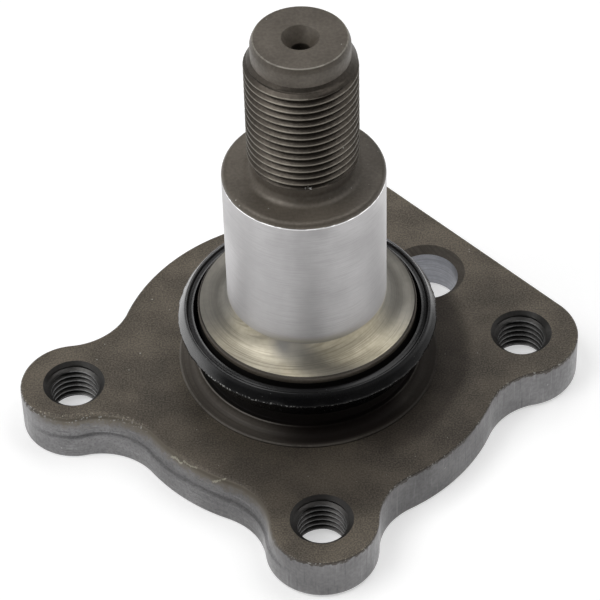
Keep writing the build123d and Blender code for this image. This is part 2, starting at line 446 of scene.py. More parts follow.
@dataclass
class Flange:
    """The forged flange: its two faces, its trimmed edge and its holes."""

    thickness: float = 9.4
    outline: FlangeOutline = field(default_factory=FlangeOutline)
    trimmed_round: float = 0.35
    soft_round: float = 0.6
    back_round: float = 0.5
    lug_back_round: float = 1.2
    rolled_round: float = 1.3
    rolled_inset: float = 1.0
    ridge_height: float = 5.2
    ridge_step: float = 0.55
    tap_mouth: float = 11.4
    tap_thread: ThreadForm = ThreadForm(pitch=1.25, crest_radius=4.325, root_radius=5.02)
    sensor: Hole = field(
        default_factory=lambda: Hole(polar(30.6, 41.3), bore=11.8, top_mouth=14.4, back_mouth=12.8)
    )
    hole_columns: int = 60
    face_spacing: float = 1.6
    unevenness: float = 0.05
    soft_edge: Sector = Sector(start=4.0, rise=10.0, end=206.0, fall=14.0)
    rolled_edge: Sector = Sector(start=190.0, rise=12.0, end=268.0, fall=14.0)
    bare_from: float = 208.0

    # Rows of the edge: the wear over its top round, the band below it and the ridge with their
    # shares of the height and the inset, the wall above the back round, and that round's rows.
    ROUND_WEAR = (0.5, 0.8, 1.0, 1.0, 0.8, 0.4)
    BAND_SHARE = 0.4
    BAND_STEPS = ((0.35, 0.86), (0.7, 0.72), (0.9, 0.62), (1.0, 0.5))
    RIDGE_STEPS = ((0.25, 0.12), (0.6, 0.0))
    WALL_STEPS = (0.33, 0.66)
    BACK_ROWS = 6

    def taps(self) -> list[Hole]:
        """The tapped holes, placed by the model's own mounts."""
        mounts = [m for m in frame["record"]["mounts"] if m["kind"] == "threaded_hole"]
        return [
            Hole(np.array(m["pos_m"][:2]) / MM, 2 * m["dims"]["r_mm"], self.tap_mouth, self.tap_mouth)
            for m in mounts
        ]

    def edge_sections(self, outline: np.ndarray) -> np.ndarray:
        """Sections of the flange's edge, one for each point of the outline.

        Args:
            outline: the flange's outline.

        Returns:
            Insets and heights from the top face down to the back face, as rows, points and the pair.
        """
        turn = self.directions(outline)
        rolled = self.rolled_edge.share(turn)
        soft = self.soft_edge.share(turn)
        places = np.column_stack([outline, np.zeros(len(outline))])
        ragged = ripple(places, size=3.0, seed=4.7)
        sway = ripple(places, size=14.0, seed=9.1)
        top_round = self.trimmed_round * (1.0 + 0.35 * ragged)
        top_round = top_round + (self.soft_round - top_round) * soft
        ridge = self.ridge_height + 0.5 * sway + 0.15 * ragged
        ends = [self.outline.right, self.outline.front]
        spans = [np.linalg.norm(outline - lug.centre, axis=1) / lug.radius for lug in ends]
        near_end = smooth(1.6 - np.min(spans, axis=0) / 1.1)
        back_round = self.back_round + (self.lug_back_round - self.back_round) * near_end
        rows = []
        for angle in np.radians(np.linspace(0.0, 90.0, len(self.ROUND_WEAR))):
            plain_inset = top_round * (1.0 - math.sin(angle))
            plain_drop = top_round * (1.0 - math.cos(angle))
            roll_inset = self.rolled_inset + self.rolled_round * (1.0 - math.sin(angle))
            roll_drop = self.rolled_round * (1.0 - math.cos(angle))
            inset = plain_inset + (roll_inset - plain_inset) * rolled
            drop = plain_drop + (roll_drop - plain_drop) * rolled
            rows.append(np.stack([inset, self.thickness - drop], axis=-1))
        for share, inset_share in self.BAND_STEPS:
            plain_height = self.thickness - top_round - share * self.BAND_SHARE * self.thickness
            roll_start = self.thickness - self.rolled_round
            roll_height = roll_start + (ridge - roll_start) * share
            height = plain_height + (roll_height - plain_height) * rolled
            inset = self.rolled_inset * inset_share * rolled
            rows.append(np.stack([inset, height], axis=-1))
        for drop, inset_share in self.RIDGE_STEPS:
            plain_height = self.thickness - top_round - (self.BAND_SHARE + 0.1 * drop) * self.thickness
            height = plain_height + (ridge - drop * self.ridge_step * 2.0 - plain_height) * rolled
            rows.append(np.stack([self.rolled_inset * inset_share * rolled, height], axis=-1))
        start = rows[-1][:, 1]
        for share in self.WALL_STEPS:
            rows.append(np.stack([np.zeros(len(outline)), start + (back_round - start) * share], axis=-1))
        for angle in np.radians(np.linspace(90.0, 0.0, self.BACK_ROWS)):
            across, up = 1.0 - math.sin(angle), 1.0 - math.cos(angle)
            rows.append(np.stack([back_round * across, back_round * up], axis=-1))
        return np.array(rows)

    def edge_marks(self, outline: np.ndarray, row_count: int) -> tuple[np.ndarray, np.ndarray]:
        """Works out how worn and how rolled the flange's edge is.

        Args:
            outline: the flange's outline.
            row_count: number of rows down the edge.

        Returns:
            Wear and roll, with rows down the edge and columns for the outline's points.
        """
        turn = self.directions(outline)
        rolled_over = self.rolled_edge.share(turn)
        bare = rolled_over * ease(turn, self.bare_from, 10.0)
        wear_and_highlight = np.zeros((row_count, len(outline)))
        wear_and_highlight[: len(self.ROUND_WEAR)] = np.array(self.ROUND_WEAR)[:, None] * (1.0 - bare)
        rolled = np.full((row_count, 1), 0.5) * rolled_over
        ridge_row = len(self.ROUND_WEAR) + len(self.BAND_STEPS) - 1
        rolled[ridge_row : ridge_row + 2] *= 2.0
        return wear_and_highlight, rolled

    @staticmethod
    def directions(outline: np.ndarray) -> np.ndarray:
        """Direction of each point from the shaft axis, in degrees from 0 to 360."""
        return np.degrees(np.arctan2(outline[:, 1], outline[:, 0])) % 360.0

    def edge_rows(self, outline: np.ndarray) -> np.ndarray:
        """Sweeps the edge's sections round the flange.

        Args:
            outline: the flange's outline.

        Returns:
            Rows of points round the edge, from the top face down to the back face.
        """
        along = np.roll(outline, -1, axis=0) - np.roll(outline, 1, axis=0)
        along /= np.linalg.norm(along, axis=1)[:, None]
        inward = np.stack([-along[:, 1], along[:, 0]], axis=-1)
        sections = self.edge_sections(outline)
        flat = outline + inward * sections[..., :1]
        return np.concatenate([flat, sections[..., 1:]], axis=-1)

    def face(
        self, loops: Sequence[np.ndarray], height: float, unevenness: float
    ) -> tuple[np.ndarray, list[list[int]]]:
        """A flat face between an outer loop and the holes' loops.

        Args:
            loops: the outer loop first, then one loop for each hole.
            height: the face's height.
            unevenness: how far the face wanders up and down away from its loops.

        Returns:
            The face's points and its triangles.
        """
        low, high = loops[0][:, :2].min(axis=0), loops[0][:, :2].max(axis=0)
        step = self.face_spacing
        across, along = np.meshgrid(np.arange(low[0], high[0], step), np.arange(low[1], high[1], step))
        across[1::2] += step / 2
        grid = np.stack([across.ravel(), along.ravel()], axis=-1)
        rims = np.vstack([loop[:, :2] for loop in loops])
        clear = self.nearest(grid, rims) > 0.6 * step
        grid = grid[clear & self.within(grid, loops)]
        edges, start = [], 0
        for loop in loops:
            size = len(loop)
            edges += [(start + i, start + (i + 1) % size) for i in range(size)]
            start += size
        flat = np.vstack([rims, grid])
        result = geometry.delaunay_2d_cdt([Vector(p) for p in flat], edges, [], 0, 1e-7)
        points = np.array([tuple(v) for v in result[0]])
        triangles = points[np.array([list(face) for face in result[2]])]
        first, second = triangles[:, 1] - triangles[:, 0], triangles[:, 2] - triangles[:, 0]
        flat_ones = np.abs(first[:, 0] * second[:, 1] - first[:, 1] * second[:, 0]) < 1e-5
        kept = self.within(triangles.mean(axis=1), loops) & ~flat_ones
        faces = [list(face) for face, keep in zip(result[2], kept) if keep]
        away = ease(self.nearest(points, rims), 0.0, 3.0)
        places = np.column_stack([points, np.full(len(points), height)])
        places[:, 2] += unevenness * away * ripple(places, size=9.0, seed=2.3)
        return places, faces

    @staticmethod
    def nearest(places: np.ndarray, rims: np.ndarray) -> np.ndarray:
        """Distance from each place to the nearest point of the rims."""
        return np.sqrt(((places[:, None] - rims[None]) ** 2).sum(axis=-1)).min(axis=1)

    @staticmethod
    def within(places: np.ndarray, loops: Sequence[np.ndarray]) -> np.ndarray:
        """Tells which places lie on a face.

        Args:
            places: places to test, one row each.
            loops: the outer loop first, then one loop for each hole.

        Returns:
            Whether each place lies inside the outer loop and outside the holes' loops.
        """
        inside = np.zeros(len(places), bool)
        for loop in loops:
            start, end = loop[:, :2], np.roll(loop[:, :2], -1, axis=0)
            for (x0, y0), (x1, y1) in zip(start, end):
                if y0 == y1:
                    continue
                crosses = (places[:, 1] >= min(y0, y1)) & (places[:, 1] < max(y0, y1))
                meets = x0 + (places[:, 1] - y0) * (x1 - x0) / (y1 - y0)
                inside ^= crosses & (places[:, 0] < meets)
        return inside

    def build(self, mesh: SurfaceMesh, sensor_turns: np.ndarray, top_rim: np.ndarray) -> None:
        """Adds the flange's faces, edge and holes to the spindle's mesh.

        Args:
            mesh: the spindle's mesh.
            sensor_turns: directions of the sensor hole's columns about its axis.
            top_rim: outline of the land and the sensor hole's mouth together.
        """
        outline = self.outline.points()
        edge = self.edge_rows(outline)
        wear_and_highlight, rolled = self.edge_marks(outline, len(edge))
        mesh.add_rows(edge[:3], Skin.FORGED, wear_and_highlight[:3], rolled[:3])
        mesh.add_rows(edge[2:], Skin.SHEARED, wear_and_highlight[2:], rolled[2:])
        turns = np.linspace(0.0, TURN, self.hole_columns, endpoint=False)
        top_loops, back_loops = [edge[0], top_rim], [edge[-1]]
        for tap in self.taps():
            shape = tap.envelope(self.thickness)
            rows, wear_and_highlight = self.tap_thread.rows(turns, shape[0], shape[-1], shape, outer=False)
            rows[..., :2] += tap.centre
            mesh.add_rows(rows, Skin.TAPPED, wear_and_highlight, closed=False)
            top_loops.append(tap.circle(shape[-1][0], self.thickness, turns))
            back_loops.append(tap.circle(shape[0][0], 0.0, turns))
        shape = self.sensor.envelope(self.thickness)
        walls = [self.sensor.circle(radius, height, sensor_turns) for radius, height in shape]
        mesh.add_rows(np.array(walls[2:]), Skin.TURNED)
        mesh.add_rows(np.array(walls[:3]), Skin.BORED)
        back_loops.append(walls[0])
        mesh.add(*self.face(top_loops, self.thickness, self.unevenness), Skin.FORGED)
        mesh.add(*self.face(back_loops, 0.0, 0.0), Skin.TURNED)


@dataclass
class Shaft:
    """Everything turned about the shaft axis, from the land on the flange up to the centre hole."""

    land_height: float = 0.5
    land_radius: float = 24.0
    land_break: float = 0.2
    pedestal_radius: float = 21.0
    pedestal_height: float = 1.9
    pedestal_fillet: float = 1.5
    neck_radius: float = 20.0
    shoulder_height: float = 13.6
    shoulder_break: float = 0.25
    shoulder_wall: float = 1.05
    journal_radius: float = 14.5
    journal_length: float = 32.6
    journal_fillet: float = 3.4
    journal_end_round: float = 1.0
    # Height over which the painted shade at the journal's foot fades out.
    foot_shade_height: float = 1.8
    relief_radius: float = 9.1
    relief_length: float = 3.2
    relief_fillet: float = 1.7
    thread: ThreadForm = ThreadForm(pitch=1.5, crest_radius=9.875, root_radius=9.1, crest_share=0.1)
    thread_length: float = 21.5
    thread_lead_in: float = 1.4
    nose_radius: float = 8.6
    nose_length: float = 3.8
    nose_bevel_width: float = 0.45
    nose_bevel_height: float = 1.0
    centre_mouth_radius: float = 3.2
    centre_bore_radius: float = 1.6
    centre_cone_angle: float = 60.0
    centre_depth: float = 7.0
    drill_point_angle: float = 118.0
    edge_softness: float = 0.12
    columns: int = 144

    # Painted highlights on the land's rim and the pedestal's edge; the nose's edge gets the same pale line.
    RIM_HIGHLIGHT = 0.6
    PALE_EDGE = 0.9
    NOSE_EDGE_ROWS = (4, 5)

    def levels(self, flange: Flange) -> dict[str, float]:
        """Adds up the heights along the shaft.

        Args:
            flange: the flange that the shaft stands on.

        Returns:
            Heights above the flange's back face, by name.
        """
        land = flange.thickness + self.land_height
        shoulder = land + self.shoulder_height
        step = shoulder + self.journal_length
        relief = step + self.relief_length
        thread_end = relief + self.thread_length
        nose = thread_end + self.thread_lead_in
        return {
            "land": land,
            "pedestal": land + self.pedestal_height,
            "shoulder": shoulder,
            "step": step,
            "relief": relief,
            "thread_end": thread_end,
            "nose": nose,
            "end": nose + self.nose_length,
        }

    def turns(self, sensor: Hole) -> tuple[np.ndarray, float, float]:
        """Directions of the shaft's columns, with two of them where the sensor hole cuts the land.

        Args:
            sensor: the sensor hole, whose mouth bites into the land's rim.

        Returns:
            The directions in radians, the sensor hole's direction, and half the bite's width.
        """
        reach = float(np.linalg.norm(sensor.centre))
        mouth = sensor.top_mouth / 2
        facing = math.atan2(sensor.centre[1], sensor.centre[0])
        half = math.acos((reach**2 + self.land_radius**2 - mouth**2) / (2 * reach * self.land_radius))
        turns = np.linspace(0.0, TURN, self.columns, endpoint=False)
        for crossing in (facing - half, facing + half):
            turns[np.argmin(np.abs(turns - crossing))] = crossing
        return turns, facing, half

    def bite(self, turns: np.ndarray, sensor: Hole, facing: float, half: float) -> np.ndarray:
        """Works out where the sensor hole's mouth bites into the land.

        Args:
            turns: directions of the columns in radians.
            sensor: the sensor hole.
            facing: its direction.
            half: half the bite's width.

        Returns:
            How far out the land reaches in each direction.
        """
        reach = float(np.linalg.norm(sensor.centre))
        away = turns - facing
        inner = np.clip((sensor.top_mouth / 2) ** 2 - (reach * np.sin(away)) ** 2, 0.0, None)
        near = reach * np.cos(away) - np.sqrt(inner)
        return np.where(np.abs(away) <= half + 1e-9, near, self.land_radius)

    def rims(self, flange: Flange) -> tuple[np.ndarray, np.ndarray]:
        """Loops where the land and the sensor hole meet the flange's top face.

        Args:
            flange: the flange with its sensor hole.

        Returns:
            The directions of the sensor hole's columns, and the loop round the land and the hole.
        """
        sensor = flange.sensor
        turns, facing, half = self.turns(sensor)
        reach = self.bite(turns, sensor, facing, half)
        level = np.full(len(turns), flange.thickness)
        foot = np.column_stack([reach * np.cos(turns), reach * np.sin(turns), level])
        bitten = np.abs(turns - facing) <= half + 1e-9
        near = foot[bitten][:, :2] - sensor.centre
        near_turns = np.unwrap(np.arctan2(near[:, 1], near[:, 0]))
        gap = TURN - abs(near_turns[-1] - near_turns[0])
        steps = flange.hole_columns - len(near_turns)
        toward = math.copysign(1.0, near_turns[-1] - near_turns[0])
        far_turns = near_turns[-1] + toward * gap * np.arange(1, steps) / steps
        mouth = np.concatenate([near_turns, far_turns])
        outside = foot[~bitten]
        outside = np.roll(outside, -int(np.sum(~bitten & (turns < facing))), axis=0)
        first, last = foot[bitten][0], foot[bitten][-1]
        far = sensor.circle(sensor.top_mouth / 2, flange.thickness, far_turns[::-1])
        loop = np.vstack([last, outside, first, far])
        return mouth, loop

    def sections(self, flange: Flange) -> list[tuple[Skin, list[Point], list[float]]]:
        """Lays out the turned surfaces below the thread.

        Args:
            flange: the flange that the shaft stands on.

        Returns:
            For each surface its skin, its half section (radius, height), rising, and how pale its points
            are, which on the land's rim and the pedestal's edge is a painted highlight.
        """
        z = self.levels(flange)
        soft = self.edge_softness
        land = [
            (self.land_radius, flange.thickness),
            (self.land_radius, z["land"] - self.land_break),
            (self.land_radius - self.land_break, z["land"]),
            (self.land_radius - 0.9, z["land"]),
        ]
        centre = (self.pedestal_radius + self.pedestal_fillet, z["land"] + self.pedestal_fillet)
        land += arc_points(centre, self.pedestal_fillet, 270.0, 180.0, 6)
        land += [(self.pedestal_radius, z["pedestal"] - step * soft) for step in (2, 1)]
        land += [(self.pedestal_radius - step * soft, z["pedestal"]) for step in (1, 2)]
        foot = [land[-1], (self.neck_radius + soft, z["pedestal"]), (self.neck_radius, z["pedestal"] + soft)]
        rim = z["shoulder"] - self.shoulder_break
        neck = foot + [(self.neck_radius, z["pedestal"] + 5.0), (self.neck_radius, rim - self.shoulder_wall)]
        seat = self.neck_radius - self.shoulder_break
        wall = [neck[-1], (self.neck_radius, rim - soft), (self.neck_radius - 0.3 * soft, rim)]
        bevel = [wall[-1], (seat + 0.3 * soft, z["shoulder"] - soft / 2), (seat - soft, z["shoulder"])]
        centre = (self.journal_radius + self.journal_fillet, z["shoulder"] + self.journal_fillet)
        polished = [bevel[-1], (centre[0] + 0.7, z["shoulder"])]
        polished += arc_points(centre, self.journal_fillet, 270.0, 180.0, 16)
        top_round = z["step"] - self.journal_end_round
        ground = [polished[-1], (self.journal_radius, polished[-1][1] + self.foot_shade_height)]
        ground += [(self.journal_radius, top_round - 8.0), (self.journal_radius, top_round - 0.35)]
        ground += [(self.journal_radius, top_round - 0.2), (self.journal_radius, top_round)]
        end_x = self.journal_radius - self.journal_end_round
        corner = arc_points((end_x, top_round), self.journal_end_round, 0.0, 90.0, 8)
        face = corner + [(end_x - 0.8, z["step"])]
        centre = (self.relief_radius + self.relief_fillet, z["step"] + self.relief_fillet)
        face += arc_points(centre, self.relief_fillet, 270.0, 180.0, 10)
        face += [(self.relief_radius, z["relief"])]
        rim_highlight, edge_highlight = [0.0] + [self.RIM_HIGHLIGHT] * 2, [self.PALE_EDGE] * 2 + [0.0]
        middle = [0.0] * (len(land) - len(rim_highlight + edge_highlight))
        return [
            (Skin.TURNED, land, rim_highlight + middle + edge_highlight),
            # The neck under the ring gets the painted shade finish.
            (Skin.NECK, neck, [0.0] * len(neck)),
            (Skin.THREADED, wall, [0.0] * len(wall)),
            (Skin.TURNED, bevel, [0.0] * len(bevel)),
            (Skin.POLISHED, polished, [0.0] * len(polished)),
            (Skin.GROUND, ground, [0.0] * (len(ground) - 2) + [1.0, 1.0]),
            (Skin.THREADED, face, [0.0] * len(face)),
        ]

    def nose_section(self, flange: Flange) -> list[Point]:
        """Lays out the nose, the end face and the centre hole.

        Args:
            flange: the flange that the shaft stands on.

        Returns:
            Half section (radius, height) from the thread's end to the bottom of the centre hole.
        """
        z = self.levels(flange)
        bevel = z["end"] - self.nose_bevel_height
        face = self.nose_radius - self.nose_bevel_width
        half_cone = math.radians(self.centre_cone_angle / 2)
        cone_depth = (self.centre_mouth_radius - self.centre_bore_radius) / math.tan(half_cone)
        point_depth = self.centre_bore_radius / math.tan(math.radians(self.drill_point_angle / 2))
        return [
            (self.nose_radius, z["nose"]),
            (self.nose_radius, bevel - 0.15),
            (self.nose_radius - 0.06, bevel + 0.1),
            (face + 0.12, z["end"] - 0.28),
            (face + 0.04, z["end"] - 0.1),
            (face - 0.12, z["end"]),
            (face - 0.3, z["end"]),
            (self.centre_mouth_radius + 1.5, z["end"]),
            (self.centre_mouth_radius + 0.08, z["end"]),
            (self.centre_mouth_radius - 0.03, z["end"] - 0.08),
            (self.centre_bore_radius + 0.1, z["end"] - cone_depth + 0.1 / math.tan(half_cone)),
            (self.centre_bore_radius, z["end"] - cone_depth),
            (self.centre_bore_radius, z["end"] - cone_depth - 0.1),
            (self.centre_bore_radius, z["end"] - self.centre_depth),
            (0.0, z["end"] - self.centre_depth - point_depth),
        ]

    def build(self, mesh: SurfaceMesh, flange: Flange) -> None:
        """Adds the whole shaft to the spindle's mesh.

        Args:
            mesh: the spindle's mesh.
            flange: the flange that the shaft stands on.
        """
        turns, facing, half = self.turns(flange.sensor)
        reach = self.bite(turns, flange.sensor, facing, half)
        for skin, section, wear_and_highlight in self.sections(flange):
            rows = turned_rows(section, turns)
            radius = np.hypot(rows[..., 0], rows[..., 1])
            share = np.minimum(1.0, reach / radius)
            rows[..., :2] *= share[..., None]
            mesh.add_rows(rows, skin, np.array(wear_and_highlight)[:, None])
        z = self.levels(flange)
        runout = self.thread.crest_radius - self.relief_radius
        envelope = [
            (self.relief_radius, z["relief"]),
            (self.thread.crest_radius, z["relief"] + runout),
            (self.thread.crest_radius, z["thread_end"]),
            (self.nose_radius, z["nose"]),
        ]
        rows, wear_and_highlight = self.thread.rows(turns, envelope[0], envelope[-1], envelope, outer=True)
        mesh.add_rows(rows, Skin.CUT, wear_and_highlight, closed=False)
        nose = turned_rows(self.nose_section(flange), turns)
        on_edge = np.isin(np.arange(len(nose)), self.NOSE_EDGE_ROWS)[:, None]
        mesh.add_rows(nose, Skin.THREADED, on_edge * self.PALE_EDGE)


@dataclass
class Spindle:
    """The one steel piece: flange and shaft together, dressed in its finishes."""

    flange: Flange = field(default_factory=Flange)
    shaft: Shaft = field(default_factory=Shaft)
    sharp_angle: float = 34.0
    # Painted shadow of the ring on the land and the flange, and painted shade on the flange's front edge.
    shadow_land_angle: float = -70.0
    shadow_land: float = 0.97
    shadow_flange_angle: float = -12.0
    shadow_flange_reach: float = 32.5
    shadow_flange: float = 0.72
    shade_wide_reach: float = 43.0
    shade_wide: float = 0.23
    shade_front_start: float = 41.0
    shade_front: float = 0.2
    # Painted shade on the polished shoulder, dimming it away from the front, on its left highlight and in a
    # trough.
    shade_side: float = 0.84
    shade_left: float = 0.34
    shade_left_sector: Sector = Sector(start=-150.0, rise=20.0, end=-100.0, fall=12.0)
    trough_angle: float = -89.0
    trough_reach: float = 17.0
    trough_depth: float = 0.62
    foot_angle: float = -88.0
    # Painted shade on the step towards its right, on the nose and its end face, and in the centre bore.
    step_angle: float = -10.0
    step_shade: float = 0.25
    nose_shade: float = 0.18
    bore_shade: float = 0.75

    def painted_shadow(self, points: np.ndarray, reach: np.ndarray, turn: np.ndarray) -> np.ndarray:
        """Works out the painted shadow on the flange and the land, darkest under the ring's front, and
        painted shade on the front of the flange's edge.

        Args:
            points: places in millimetres, one row each.
            reach: their distances from the shaft axis.
            turn: their directions in degrees.

        Returns:
            A share from 0 to 1 for each point.
        """
        by_land = np.cos(np.radians(turn - self.shadow_land_angle))
        by_flange = np.cos(np.radians(turn - self.shadow_flange_angle))
        inner = self.shadow_land * ease(by_land, 0.6, 0.36) * ease(reach, self.shaft.land_radius + 0.6, -1.5)
        outer = self.shadow_flange * ease(by_flange, 0.25, 0.5) * ease(reach, self.shadow_flange_reach, -4.0)
        ahead = ease(by_land, -0.3, 0.6) + ease(by_land, 0.5, 0.5)
        wide = self.shade_wide * ahead * ease(reach, self.shade_wide_reach, -6.0)
        on_edge = points[:, 2] < self.flange.thickness - 0.4
        wide = wide + self.shade_front * ease(-points[:, 1], self.shade_front_start, 5.0) * on_edge
        return np.maximum(inner, np.maximum(outer, wide))

    def shoulder_shade(self, reach: np.ndarray, turn: np.ndarray) -> np.ndarray:
        """Works out the painted shade on the polished shoulder: darker away from the front, dimmer on its
        left highlight, and a dark trough that bends at the front.

        Args:
            reach: distances of the points from the shaft axis.
            turn: their directions in degrees.

        Returns:
            A share from 0 to 1 for each point.
        """
        aside = np.abs((turn + 270.0) % 360.0 - 180.0)
        trough = np.abs(turn - self.trough_angle - 5.0 * (reach - self.trough_reach))
        depth = self.trough_depth + 0.11 * np.clip(self.trough_reach - reach, 0.0, 2.0)
        dull = self.shade_side * ease(aside, 42.0, 38.0) + depth * ease(trough, 22.5, -18.0)
        return dull + self.shade_left * self.shade_left_sector.share(turn)

    def painted_shade_share(self, points: np.ndarray) -> np.ndarray:
        """Works out how dark with painted shade and painted shadow the spindle is.

        Args:
            points: places in millimetres, one row each.

        Returns:
            A share from 0 to 1 for each point.
        """
        z = self.shaft.levels(self.flange)
        height = points[:, 2]
        reach = np.hypot(points[:, 0], points[:, 1])
        turn = np.degrees(np.arctan2(points[:, 1], points[:, 0]))
        foot = z["shoulder"] + self.shaft.journal_fillet
        on_shoulder = (height > z["shoulder"] - 0.1) & (height < foot + 0.01)
        on_step = (height > z["step"] - self.shaft.journal_end_round + 0.01) & (height < z["relief"] - 0.5)
        by_step = np.cos(np.radians(turn - self.step_angle))
        # Painted shade on the nose and its end face, in the centre bore and on the step.
        dark = np.where(height > z["nose"], self.nose_shade, 0.0)
        dark = np.where(reach < self.shaft.centre_bore_radius + 0.01, self.bore_shade, dark)
        dark = np.where(on_step, self.step_shade * ease(by_step, 0.2, 0.6), dark)
        dark = np.where(on_shoulder, self.shoulder_shade(reach, turn), dark)
        # Painted shade at the journal's foot, strongest at the front, which blends it into the shoulder.
        by_foot = 0.2 + 0.8 * ease(np.abs(turn - self.foot_angle), 52.0, -40.0)
        dark = np.where(np.isclose(height, foot), by_foot, dark)
        return np.where(height < z["pedestal"] + 1.0, self.painted_shadow(points, reach, turn), dark)

    def build(self, finishes: dict[Skin, bpy.types.Material]) -> bpy.types.Object:
        """Builds the spindle and puts it in the place of its CAD node.

        Args:
            finishes: the material of each skin.

        Returns:
            The spindle's object.
        """
        mesh = SurfaceMesh("spindle_body")
        sensor_turns, top_rim = self.shaft.rims(self.flange)
        self.flange.build(mesh, sensor_turns, top_rim)
        self.shaft.build(mesh, self.flange)
        # The painted shade and painted shadow, carried by the mesh for its materials.
        mesh.marks["painted_shade"] = [self.painted_shade_share(np.vstack(mesh.points))]
        body = mesh.piece([finishes[skin] for skin in Skin], self.sharp_angle)
        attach(body, BODY)
        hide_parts("spindle")
        return body


@dataclass
class SealingRing:
    """The moulded rubber ring on the neck, with its flared lip and its line of mould flash."""

    neck_radius: float = 20.0
    top: float = 22.1
    height: float = 6.6
    grip_length: float = 3.0
    lip_gap: float = 0.8
    crest_reach: float = 2.3
    flash_reach: float = 3.7
    flash_drop: float = 2.1
    flash_edge: float = 0.2
    foot_wall: float = 1.6
    torn_angle: float = -122.0
    torn_depth: float = 0.35
    rough_depth: float = 0.11
    # Painted shade: where and how much the ring's gloss is taken off towards the front.
    shade_angle: float = -68.0
    flank_shade: float = 0.96
    lip_shade: float = 0.75
    columns: int = 220
    sharp_angle: float = 40.0

    def section(self) -> list[tuple[float, float, float]]:
        """Lays out the ring's closed half section.

        Returns:
            For each point its radius, its height, and how ragged the rubber is there.
        """
        inner = self.neck_radius + self.lip_gap
        crest = self.neck_radius + self.crest_reach
        flash = self.neck_radius + self.flash_reach
        flash_z = self.top - self.flash_drop
        foot = self.neck_radius + self.foot_wall
        foot_z = self.top - self.height
        return [
            (self.neck_radius, foot_z, 0.0),
            (self.neck_radius, foot_z + self.grip_length, 0.0),
            (inner, self.top - 0.55, 0.0),
            (inner + 0.1, self.top - 0.32, 0.0),
            (inner + 0.35, self.top - 0.3, 0.0),
            (inner + 0.75, self.top - 0.42, 0.0),
            (crest - 0.55, self.top - 0.5, 0.0),
            (crest - 0.4, self.top - 0.3, 0.0),
            (crest - 0.2, self.top - 0.05, 0.0),
            (crest, self.top, 0.0),
            (crest + 0.17, self.top - 0.08, 0.0),
            (crest + 0.38, self.top - 0.34, 0.0),
            (crest + 0.7, self.top - 0.85, 0.0),
            (crest + 1.0, self.top - 1.36, 0.0),
            (flash - 0.12, flash_z + 0.24, 0.3),
            (flash, flash_z, 1.0),
            (flash, flash_z - self.flash_edge, 1.0),
            (flash - 0.25, flash_z - self.flash_edge - 0.12, 0.4),
            (flash - 0.55, flash_z - 0.9, 0.0),
            (foot + 0.5, foot_z + 1.6, 0.0),
            (foot, foot_z + 0.4, 0.0),
            (foot - 0.12, foot_z + 0.12, 0.0),
            (foot - 0.4, foot_z, 0.0),
            (self.neck_radius, foot_z, 0.0),
        ]

    def build(self, rubber: bpy.types.Material) -> bpy.types.Object:
        """Builds the ring and puts it in the place of its CAD node.

        Args:
            rubber: the ring's material.

        Returns:
            The ring's object.
        """
        section = self.section()
        turns = np.linspace(0.0, TURN, self.columns, endpoint=False)
        rows = turned_rows([(radius, height) for radius, height, _ in section], turns)
        ragged = np.array([rag for _, _, rag in section])
        rough = ripple(rows[0], size=1.3, seed=6.1, octaves=2)
        torn = np.clip(ripple(rows[0], size=3.1, seed=1.9, octaves=2) - 0.35, 0.0, None)
        reach = ragged[:, None] * (self.rough_depth * rough - self.torn_depth * torn)[None, :]
        radius = np.hypot(rows[..., 0], rows[..., 1])
        rows[..., :2] *= (1.0 + reach / radius)[..., None]
        mesh = SurfaceMesh("sealing_ring")
        near = np.cos(turns - math.radians(self.torn_angle))
        ahead = ease(np.cos(turns - math.radians(self.shade_angle)), 0.1, 0.4)
        flecked = np.maximum(ease(near, 0.8, 0.15), 0.4 + 0.2 * ahead)
        mesh.add_rows(rows, Mould.RUBBER, ragged[:, None] * flecked)
        # Painted shade: the gloss comes off the ring's underside below the flash, and off its flank and lip
        # towards the front.
        flash_z = self.top - self.flash_drop
        steep = (rows[..., 2] < self.top - 0.8) & (rows[..., 2] > flash_z - 0.1)
        front_shade = np.where(steep, self.flank_shade, self.lip_shade) * ahead
        under = rows[..., 2] < flash_z - self.flash_edge - 0.1
        mesh.marks["painted_shade"] = [np.where(under, 1.0, front_shade).reshape(-1)]
        ring = mesh.piece([rubber], self.sharp_angle)
        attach(ring, BODY)
        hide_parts("seal_ring")
        return ring


